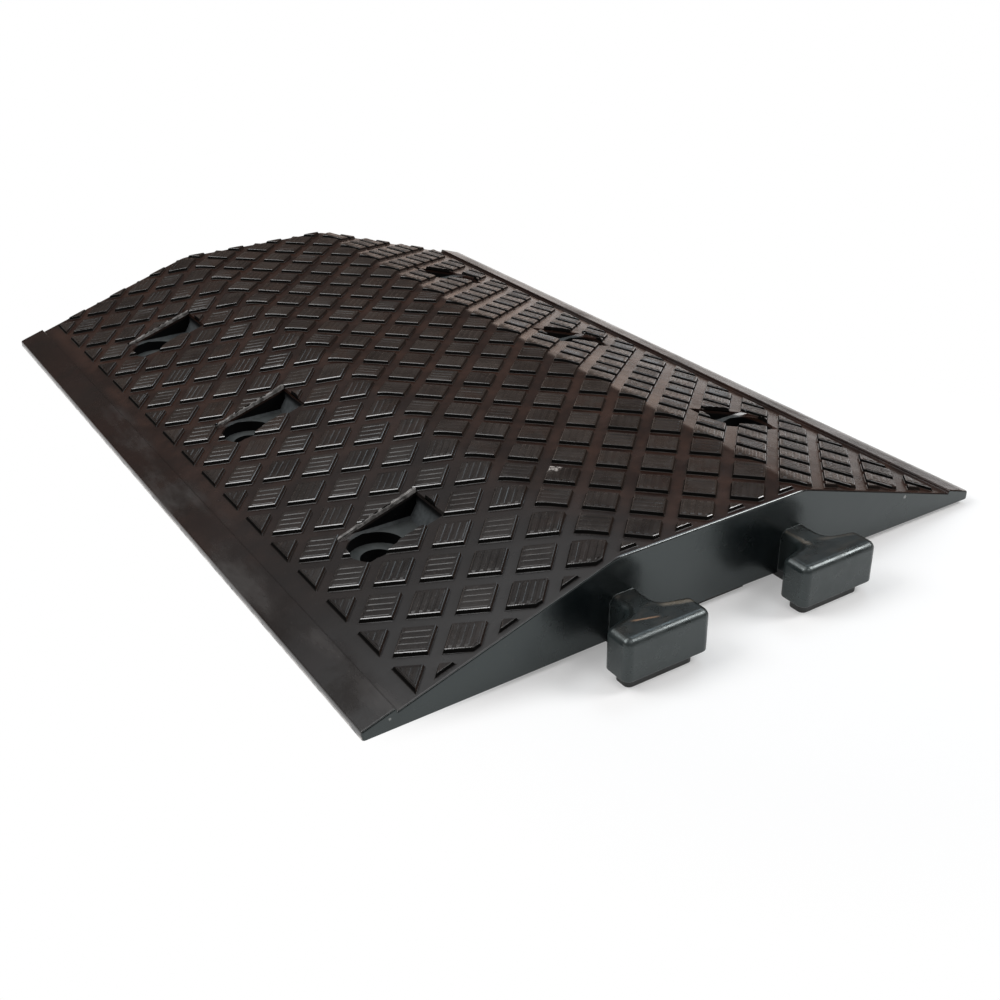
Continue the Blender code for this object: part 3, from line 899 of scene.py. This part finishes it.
def make_pad_rubber(name, depth, polish, edge_polish, right_polish):
    """Dusty tops that differ from pad to pad, with painted glints on the right slope, over walls with
    painted shade, lighter as painted light where they face right, and polished edges.
    """
    # Every colour is scaled by the depth gain: painted light on the ribs against painted shade between them
    def shade(colour):
        return tuple(depth * channel for channel in colour)

    shader = Shader(bpy.data.materials.new(name))
    x, y, z = shader.split(shader.place)
    aside, _, up = shader.split(shader.facing)
    rise = shader.height_over_deck(shader.math('ABSOLUTE', x), z)
    shifted = shader.math('SUBTRACT', y, PAD_ROW_OFFSET)
    cell = [
        shader.math('ROUND', shader.math('DIVIDE', shader.math(operation, x, shifted), PAD_PITCH))
        for operation in ('ADD', 'SUBTRACT')
    ]
    cell = shader.add("CombineXYZ", X=cell[0], Y=cell[1]).outputs[0]
    tone, hue, _ = shader.split(shader.add("TexWhiteNoise", Vector=cell).outputs["Color"])
    mottle = shader.plus(shader.times(tone, 0.5), shader.patches(0.3, 0.7, scale=40, detail=5), 0.5)
    colour = shader.mix(mottle, shade(PAD_DARK), shade(PAD_LIGHT))
    soiled = shader.times(shader.ramp(hue, 0.35, 0.95), shader.patches(0.35, 0.65, scale=70, detail=4))
    colour = shader.mix(shader.times(soiled, 0.7), colour, PAD_SOIL)
    grey = shader.times(near_left(shader, x, y), 0.7)
    colour = shader.mix(grey, colour, shader.mix(mottle, shade(PAD_GREY_DARK), shade(PAD_GREY_LIGHT)))
    dust = shader.patches(0.58, 0.78, scale=260, detail=4, roughness=0.65)
    colour = shader.mix(shader.times(dust, 0.45), colour, PAD_DUST)
    # Painted glints: pale specks on the right slope's pads
    painted_glint = shader.patches(0.56, 0.68, scale=330, detail=3, roughness=0.6)
    colour = shader.mix(shader.times(painted_glint, shader.ramp(x, *RIGHT_GLINT_ACROSS), 0.35), colour, PAD_PAINTED_GLINT)
    broken = shader.patches(0.40, 0.52, scale=420, detail=2)
    chip = shader.times(shader.spot(CHIP_CENTRE, CHIP_RADIUS), broken)
    colour = shader.mix(chip, colour, PAD_CHIP)
    # Painted shade on the walls facing left and front, painted light on those facing right
    wall_light_and_shade = shader.mix(shader.ramp(aside, -0.05, 0.30), PAD_WALL_SHADE, PAD_WALL_LIT)
    colour = shader.mix(shader.ramp(up, 0.62, 0.86), wall_light_and_shade, colour)

    edge = shader.ramp(up, 0.93, 0.84)
    top_edge = shader.times(edge, shader.ramp(rise, *PAD_EDGE_RISE))
    foot = shader.times(edge, shader.ramp(rise, *PAD_FOOT_RISE))
    wall = shader.ramp(up, 0.55, 0.42)
    on_right = shader.ramp(x, *RIGHT_SHINE_ACROSS)
    shine = polish
    for zone, change in ((on_right, right_polish), (top_edge, edge_polish), (foot, -0.15)):
        shine = shader.plus(shine, zone, change)
    shine = shader.times(shine, shader.math('SUBTRACT', 1.0, wall))
    roughness = shader.uneven(0.20, 0.36, scale=60, detail=4, high=0.72)
    roughness = shader.plus(roughness, edge, -0.2 * edge_polish)
    return shader.finish(colour, roughness, shader.grain(0.00008), Specular_IOR_Level=shine)


def make_bead_scuff_and_highlight():
    """Pale rubber of the beads along the bolt pockets: scuffs plus a painted highlight."""
    shader = Shader(bpy.data.materials.new("bead_scuff_and_highlight"))
    mark_mask = shader.patches(0.35, 0.65, scale=180, detail=4, roughness=0.6)
    # Scuffs plus a painted highlight, paler in patches
    colour = shader.mix(mark_mask, BEAD_DARK, BEAD_LIGHT)
    return shader.finish(colour, shader.uneven(0.30, 0.50, scale=140), shader.grain(0.0001))


def make_key_rubber():
    """Blue-grey key rubber with painted shade darkening the top, and dust and scuffs on the top."""
    shader = Shader(bpy.data.materials.new("key_rubber"))
    x, y, _ = shader.split(shader.place)
    _, _, up = shader.split(shader.facing)
    top = shader.ramp(up, 0.75, 0.98)
    colour = shader.mix(shader.noise(scale=45, detail=4), KEY_DARK, KEY_LIGHT)
    # Painted shade darkens the top faces
    colour = shader.mix(shader.times(top, 0.8), colour, KEY_TOP_SHADE)
    cloud = shader.patches(0.46, 0.70, scale=70, detail=5, roughness=0.65, stretch=(0.55, 1.6, 1.0))
    colour = shader.mix(shader.times(cloud, top, 0.35), colour, KEY_DUST)
    for middle, half_length, half_width, angle, shade in KEY_SCUFFS:
        mark_mask = shader.streak(x, y, middle, half_length, half_width, math.radians(angle))
        colour = shader.mix(shader.times(mark_mask, top, 0.75), colour, shade)
    roughness = shader.uneven(0.24, 0.40, scale=80, detail=4)
    edge = shader.times(shader.ramp(up, 0.97, 0.85), shader.ramp(up, 0.20, 0.45))
    return shader.finish(
        colour, roughness, shader.grain(0.00007),
        Specular_IOR_Level=shader.plus(0.6, edge, 0.35), Specular_Tint=KEY_TINT,
    )


def make_key_foot_rubber():
    """The key's rubber, with painted shade toward the floor."""
    shader = Shader(bpy.data.materials.new("key_foot_rubber"))
    _, _, z = shader.split(shader.place)
    # Painted shade: darker toward the floor
    low = shader.ramp(z, sole_high.z, FLOOR_HEIGHT)
    colour = shader.mix(shader.noise(scale=60, detail=4), FOOT_DARK, FOOT_LIGHT)
    colour = shader.mix(shader.times(low, 0.5), colour, FOOT_LOW_SHADE)
    return shader.finish(colour, shader.uneven(0.30, 0.48, scale=80, detail=4), shader.grain(0.00007))


def make_sole_rubber():
    """Matt brown-black rubber of the strips under the ramp."""
    shader = Shader(bpy.data.materials.new("sole_rubber"))
    colour = shader.mix(shader.noise(scale=50, detail=4), SOLE_DARK, SOLE_LIGHT)
    return shader.finish(colour, shader.uneven(0.45, 0.7, scale=90), shader.grain(0.0001))


def make_floor():
    """A pale floor, which the camera and reflections see white away from the ramp and the keys' shadow."""
    bm = bmesh.new()
    bmesh.ops.create_grid(bm, x_segments=1, y_segments=1, size=FLOOR_HALF)
    floor = object_from(bm, "floor")
    floor.location.z = FLOOR_HEIGHT
    shader = Shader(bpy.data.materials.new("floor_white"))
    path = shader.add("LightPath").outputs
    x, y, _ = shader.split(shader.place)
    turn = shader.plus(y, x, -FLOOR_DIM_TURN)
    beige = shader.mix(shader.ramp(turn, *FLOOR_DIM_REACH), FLOOR_DIM_FAR, FLOOR_DIM_NEAR)
    dim = shader.times(shader.ramp(x, *FLOOR_DIM_SIDE), path["Is Glossy Ray"])
    seen = shader.math('MAXIMUM', path["Is Camera Ray"], path["Is Glossy Ray"])
    plain = shader.add("BsdfDiffuse", Color=FLOOR_COLOUR)
    shade = shader.add("BsdfDiffuse", Color=FLOOR_SHADE)
    beside = shader.math('MAXIMUM', *(
        shader.ramp(shader.math('ABSOLUTE', axis), half - FLOOR_UNDER[0], half - FLOOR_UNDER[1])
        for axis, half in ((x, HALF_WIDTH), (y, HALF_LENGTH))
    ))
    glow = shader.add("Emission", Color=WHITE, Strength=shader.times(beside, FLOOR_GLOW))
    near = shader.add("AddShader", i0=shade.outputs[0], i1=glow.outputs[0])
    far = shader.add("Emission", Color=shader.mix(dim, WHITE[:3], beige))
    bare = shader.times(shader.ramp(shader.distance(FLOOR_CENTRE), *FLOOR_FADE), beside)
    shown = shader.add("MixShader", i0=bare, i1=near.outputs[0], i2=far.outputs[0])
    surface = shader.add("MixShader", i0=seen, i1=plain.outputs[0], i2=shown.outputs[0])
    floor.data.materials.append(shader.close(surface))


def make_world():
    """White to the camera. To the object, white at the far horizon, dark above it and pale overhead."""
    scene.world = bpy.data.worlds.new("studio")
    shader = Shader(scene.world, "Generated")
    x, y, z = shader.split(shader.place)
    sky = shader.add("ValToRGB", Fac=z)
    stops = sky.color_ramp.elements
    while len(stops) < len(SKY_STOPS):
        stops.new(0.5)
    for stop, (height, colour) in zip(stops, SKY_STOPS):
        stop.position = height
        stop.color = (*colour, 1)
    turn = shader.plus(y, x, SKY_DIM_TURN)
    dim = shader.times(shader.ramp(turn, *SKY_DIM_REACH), shader.ramp(z, *SKY_DIM_BAND))
    room = shader.add("Background", Color=shader.mix(dim, sky.outputs[0], SKY_DIM))
    white = shader.add("Background", Color=WHITE)
    seen = shader.add("LightPath").outputs["Is Camera Ray"]
    surface = shader.add("MixShader", i0=seen, i1=room.outputs[0], i2=white.outputs[0])
    shader.close(surface, "OutputWorld")


def add_softbox(name, location, size, power, colour):
    """A soft lamp that faces the middle of the ramp."""
    light = bpy.data.lights.new(name, 'AREA')
    light.shape = 'RECTANGLE'
    light.size, light.size_y = size
    light.energy = power
    light.color = colour
    lamp = bpy.data.objects.new(name, light)
    lamp.location = location
    lamp.rotation_euler = (-Vector(location)).to_track_quat('-Z', 'Y').to_euler()
    scene.collection.objects.link(lamp)


def make_camera():
    """The photograph's viewpoint."""
    yaw, pitch, roll = (math.radians(angle) for angle in CAMERA_TURN)
    ahead = Vector((math.sin(yaw) * math.cos(pitch), math.cos(yaw) * math.cos(pitch), -math.sin(pitch)))
    right = Vector((math.cos(yaw), -math.sin(yaw), 0))
    up = right.cross(ahead)
    tilted_right = right * math.cos(roll) + up * math.sin(roll)
    tilted_up = up * math.cos(roll) - right * math.sin(roll)
    camera = bpy.data.objects.new("camera", bpy.data.cameras.new("camera"))
    camera.data.sensor_width = CAMERA_SENSOR
    camera.data.lens = CAMERA_LENS
    camera.data.clip_start = CAMERA_NEAREST
    camera.matrix_world = Matrix.LocRotScale(
        Vector(CAMERA_LOCATION), Matrix((tilted_right, tilted_up, -ahead)).transposed(), None,
    )
    scene.collection.objects.link(camera)
    scene.camera = camera


def dress(piece, body, material):
    """Gives a piece its material and slot and hangs it on a body."""
    piece.data.materials.clear()
    piece.data.materials.append(material)
    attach(piece, body)


block_rubber = make_block_rubber()
# The ribs' colours are about a tenth lighter than the pads': painted light on the ribs, painted shade
# between them
pad_rubber = make_pad_rubber("pad_rubber", depth=1.05, polish=0.27, edge_polish=0.80, right_polish=-0.04)
rib_rubber = make_pad_rubber("rib_rubber", depth=1.15, polish=0.30, edge_polish=0.0, right_polish=0.48)
key_rubber = make_key_rubber()
sole_rubber = make_sole_rubber()
key_foot_rubber = make_key_foot_rubber()
bead_scuff_and_highlight = make_bead_scuff_and_highlight()

cutters = make_cutters()
pocket_cutters = cutters[:2]
block = soften(cut(make_block(), cutters), RIM_BEVEL)
pads = join(make_pads("open"), [make_pads("nub"), cut(make_pads("pocketed"), pocket_cutters)])
soften(pads, PAD_BEVEL, PAD_BEVEL_ANGLE)
pads.name = "tread_pads"
ribs = join(make_ribs("open"), [cut(make_ribs("pocketed"), pocket_cutters)])
ribs.name = "tread_ribs"
for helper in cutters:
    bpy.data.objects.remove(helper)

for piece, material, angle in (
    (block, block_rubber, SHARP_ANGLE),
    (pads, pad_rubber, PAD_SHARP_ANGLE),
    (ribs, rib_rubber, RIB_SHARP_ANGLE),
    (make_beads(), bead_scuff_and_highlight, SHARP_ANGLE),
    (make_flash(), key_rubber, SHARP_ANGLE),
):
    smooth(piece, angle)
    dress(piece, "ramp", material)
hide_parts("ramp_body")

for side, word in ((-1, "left"), (1, "right")):
    key = smooth(make_key(f"key_{word}", side))
    dress(key, "connector_keys", key_rubber)
    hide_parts(f"connector_key_{word}")

for name, node in frame["nodes"].items():
    if "sole" in name:
        node.data.materials.clear()
        node.data.materials.append(key_foot_rubber if name.startswith("key") else sole_rubber)

make_floor()
make_world()
for softbox in SOFTBOXES:
    add_softbox(*softbox)
make_camera()
scene.view_settings.view_transform = 'Standard'
